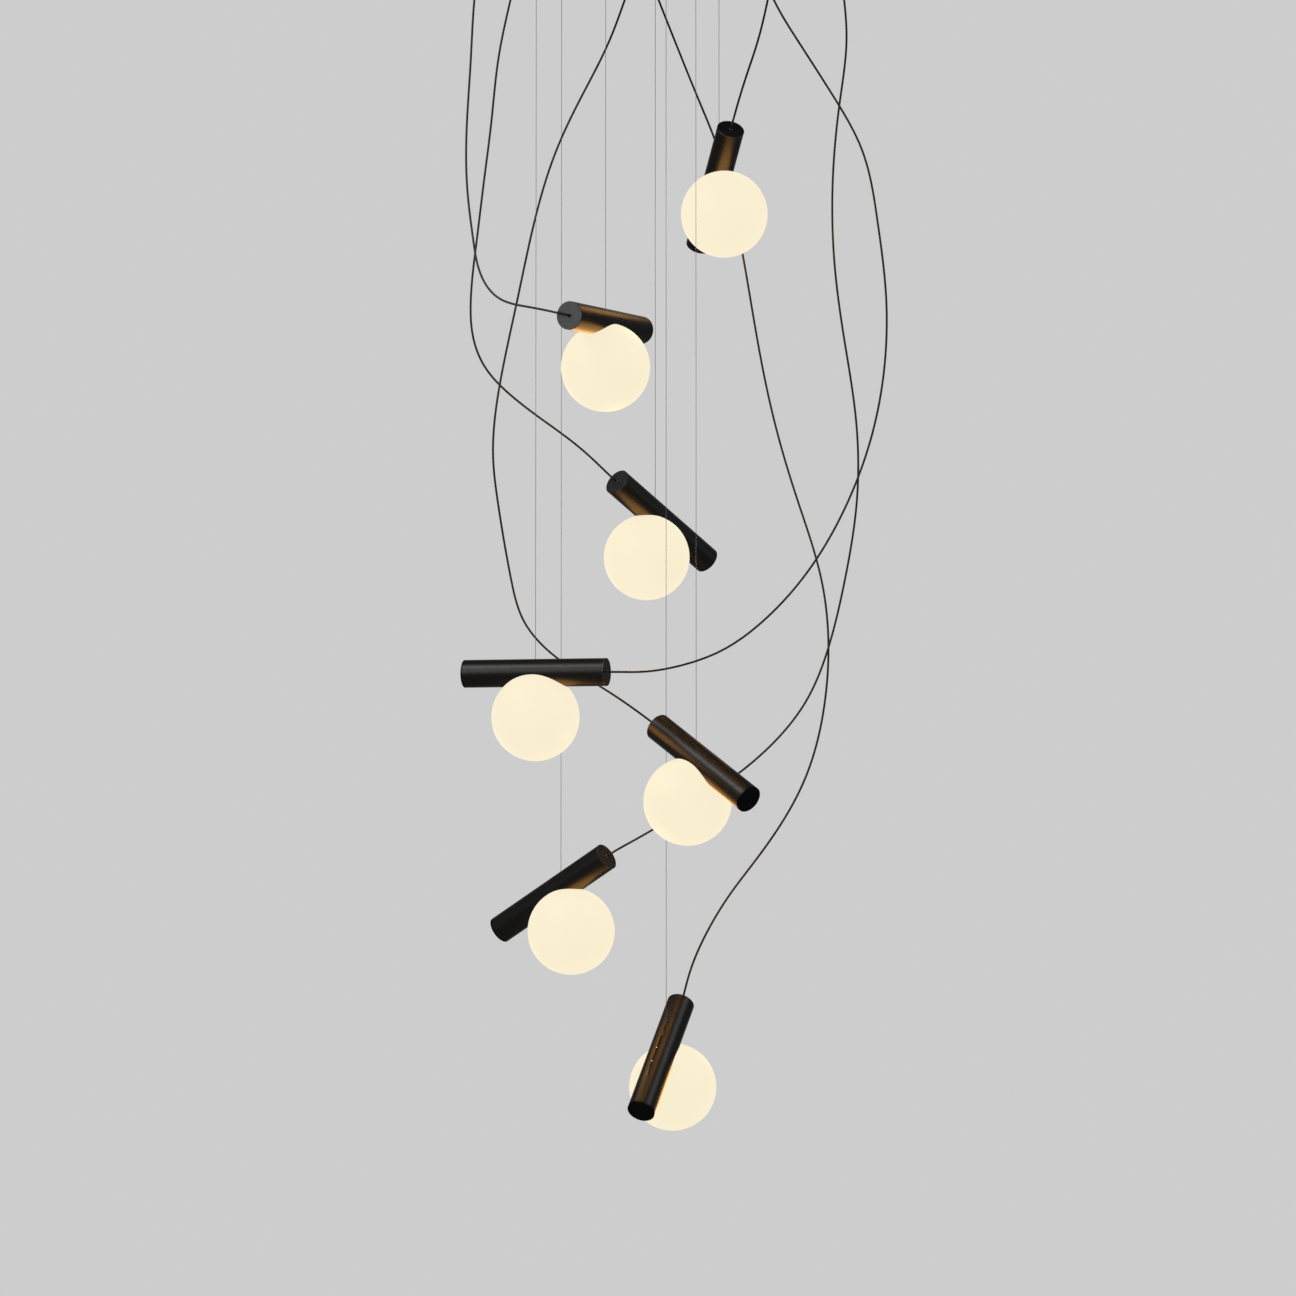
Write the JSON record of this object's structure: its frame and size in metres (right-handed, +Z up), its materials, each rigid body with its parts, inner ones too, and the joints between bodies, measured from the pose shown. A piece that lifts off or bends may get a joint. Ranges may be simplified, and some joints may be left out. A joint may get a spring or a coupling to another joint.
{
  "type": "cluster pendant chandelier",
  "caption": "Cluster chandelier: slotted tubes, each nesting an opal glass globe, hang on wires from a round canopy and tilt, turn and slide on their wires.",
  "frame": {"origin": "centre of the ceiling bar's top face, on the ceiling", "axes": "+Z up, +X to the right and +Y away from the viewer of the picture"},
  "size_m": [0.5824, 0.54, 1.6664],
  "materials": {
    "black_bronze": "satin",
    "cap_grey": "satin",
    "cap_black": "satin",
    "opal_glass": "polished opal",
    "module_aluminium": "satin",
    "steel_wire": "drawn",
    "slider_rubber": "matte",
    "black_cord": "satin",
    "canopy_black": "satin",
    "zinc_steel": "zinc plated",
    "driver_white": "matte",
    "terminal_cream": "matte"
  },
  "bodies": {
    "ceiling_assembly": {"ceiling_bar": "zinc_steel", "canopy": "canopy_black", "driver": "driver_white", "terminal_block": "terminal_cream", "cord_1": "black_cord", "cord_2": "black_cord", "cord_3": "black_cord", "cord_4": "black_cord", "cord_5": "black_cord", "cord_6": "black_cord", "cord_7": "black_cord"},
    "hanger_1": {"wire_1": "steel_wire"},
    "shuttle_1": {"slider_1": "slider_rubber"},
    "pendant_1": {"tube_1": "black_bronze", "cord_cap_1": "cap_grey", "end_cap_1": "cap_black", "globe_1": "opal_glass", "light_module_1": "module_aluminium"},
    "hanger_2": {"wire_2": "steel_wire"},
    "shuttle_2": {"slider_2": "slider_rubber"},
    "pendant_2": {"tube_2": "black_bronze", "cord_cap_2": "cap_grey", "end_cap_2": "cap_black", "globe_2": "opal_glass", "light_module_2": "module_aluminium"},
    "hanger_3": {"wire_3": "steel_wire"},
    "shuttle_3": {"slider_3": "slider_rubber"},
    "pendant_3": {"tube_3": "black_bronze", "cord_cap_3": "cap_grey", "end_cap_3": "cap_black", "globe_3": "opal_glass", "light_module_3": "module_aluminium"},
    "hanger_4": {"wire_4": "steel_wire"},
    "shuttle_4": {"slider_4": "slider_rubber"},
    "pendant_4": {"tube_4": "black_bronze", "cord_cap_4": "cap_grey", "end_cap_4": "cap_black", "globe_4": "opal_glass", "light_module_4": "module_aluminium"},
    "hanger_5": {"wire_5": "steel_wire"},
    "shuttle_5": {"slider_5": "slider_rubber"},
    "pendant_5": {"tube_5": "black_bronze", "cord_cap_5": "cap_grey", "end_cap_5": "cap_black", "globe_5": "opal_glass", "light_module_5": "module_aluminium"},
    "hanger_6": {"wire_6": "steel_wire"},
    "shuttle_6": {"slider_6": "slider_rubber"},
    "pendant_6": {"tube_6": "black_bronze", "cord_cap_6": "cap_grey", "end_cap_6": "cap_black", "globe_6": "opal_glass", "light_module_6": "module_aluminium"},
    "hanger_7": {"wire_7": "steel_wire"},
    "shuttle_7": {"slider_7": "slider_rubber"},
    "pendant_7": {"tube_7": "black_bronze", "cord_cap_7": "cap_grey", "end_cap_7": "cap_black", "globe_7": "opal_glass", "light_module_7": "module_aluminium"}
  },
  "joints": [
    {"name": "swivel_1", "type": "hinge", "parent": "ceiling_assembly", "child": "hanger_1", "pos_m": [0.08262, 0.05544, -0.32327], "axis": [0, 0, 1], "range_deg": [-40, 40], "deforming": ["cord_1"]},
    {"name": "tilt_1", "type": "hinge", "parent": "hanger_1", "child": "shuttle_1", "pos_m": [0.08262, 0.05544, -0.32327], "axis": [-0.9568, -0.2907, 0], "range_deg": [-95, 5], "deforming": ["cord_1"]},
    {"name": "slide_1", "type": "slide", "parent": "shuttle_1", "child": "pendant_1", "axis": [0.2056, -0.6766, 0.7071], "range_m": [-0.0036, 0.0824], "deforming": ["cord_1"]},
    {"name": "swivel_2", "type": "hinge", "parent": "ceiling_assembly", "child": "hanger_2", "pos_m": [-0.07308, -0.1458, -0.56087], "axis": [0, 0, -1], "range_deg": [-40, 40], "deforming": ["cord_2"]},
    {"name": "tilt_2", "type": "hinge", "parent": "hanger_2", "child": "shuttle_2", "pos_m": [-0.07308, -0.1458, -0.56087], "axis": [-0.8829, 0.4695, 0], "range_deg": [-50, 50], "deforming": ["cord_2"]},
    {"name": "slide_2", "type": "slide", "parent": "shuttle_2", "child": "pendant_2", "axis": [-0.4695, -0.8829, 0], "range_m": [-0.043, 0.043], "deforming": ["cord_2"]},
    {"name": "swivel_3", "type": "hinge", "parent": "ceiling_assembly", "child": "hanger_3", "pos_m": [-0.00576, 0.14724, -0.79664], "axis": [0, 0, -1], "range_deg": [-40, 40], "deforming": ["cord_3"]},
    {"name": "tilt_3", "type": "hinge", "parent": "hanger_3", "child": "shuttle_3", "pos_m": [-0.00576, 0.14724, -0.79664], "axis": [-0.6947, 0.7193, 0], "range_deg": [-80, 20], "deforming": ["cord_3"]},
    {"name": "slide_3", "type": "slide", "parent": "shuttle_3", "child": "pendant_3", "axis": [-0.623, -0.6016, 0.5], "range_m": [-0.0203, 0.0657], "deforming": ["cord_3"]},
    {"name": "swivel_4", "type": "hinge", "parent": "ceiling_assembly", "child": "hanger_4", "pos_m": [-0.16884, -0.05598, -1.02843], "axis": [0, 0, -1], "range_deg": [-40, 40], "deforming": ["cord_4"]},
    {"name": "tilt_4", "type": "hinge", "parent": "hanger_4", "child": "shuttle_4", "pos_m": [-0.16884, -0.05598, -1.02843], "axis": [-0.2857, -0.9583, 0], "range_deg": [-50, 50], "deforming": ["cord_4"]},
    {"name": "slide_4", "type": "slide", "parent": "shuttle_4", "child": "pendant_4", "axis": [0.9583, -0.2857, 0], "range_m": [-0.043, 0.043], "deforming": ["cord_4"]},
    {"name": "swivel_5", "type": "hinge", "parent": "ceiling_assembly", "child": "hanger_5", "pos_m": [0.04932, -0.06858, -1.14159], "axis": [0, 0, 1], "range_deg": [-40, 40], "deforming": ["cord_5"]},
    {"name": "tilt_5", "type": "hinge", "parent": "hanger_5", "child": "shuttle_5", "pos_m": [0.04932, -0.06858, -1.14159], "axis": [0.7218, 0.6921, 0], "range_deg": [-80, 20], "deforming": ["cord_5"]},
    {"name": "slide_5", "type": "slide", "parent": "shuttle_5", "child": "pendant_5", "axis": [-0.5994, 0.6251, 0.5], "range_m": [-0.0203, 0.043], "deforming": ["cord_5"]},
    {"name": "swivel_6", "type": "hinge", "parent": "ceiling_assembly", "child": "hanger_6", "pos_m": [-0.13608, 0.0621, -1.31795], "axis": [0, 0, -1], "range_deg": [-40, 40], "deforming": ["cord_6"]},
    {"name": "tilt_6", "type": "hinge", "parent": "hanger_6", "child": "shuttle_6", "pos_m": [-0.13608, 0.0621, -1.31795], "axis": [-0.527, -0.8499, 0], "range_deg": [-80, 20], "deforming": ["cord_6"]},
    {"name": "slide_6", "type": "slide", "parent": "shuttle_6", "child": "pendant_6", "axis": [0.736, -0.4564, 0.5], "range_m": [-0.0203, 0.0657], "deforming": ["cord_6"]},
    {"name": "swivel_7", "type": "hinge", "parent": "ceiling_assembly", "child": "hanger_7", "pos_m": [0.009, 0.03492, -1.527], "axis": [0, 0, 1], "range_deg": [-40, 40], "deforming": ["cord_7"]},
    {"name": "tilt_7", "type": "hinge", "parent": "hanger_7", "child": "shuttle_7", "pos_m": [0.009, 0.03492, -1.527], "axis": [0.9239, -0.3827, 0], "range_deg": [-95, 5], "deforming": ["cord_7"]},
    {"name": "slide_7", "type": "slide", "parent": "shuttle_7", "child": "pendant_7", "axis": [0.2706, 0.6533, 0.7071], "range_m": [-0.0036, 0.0824], "deforming": ["cord_7"]}
  ]
}
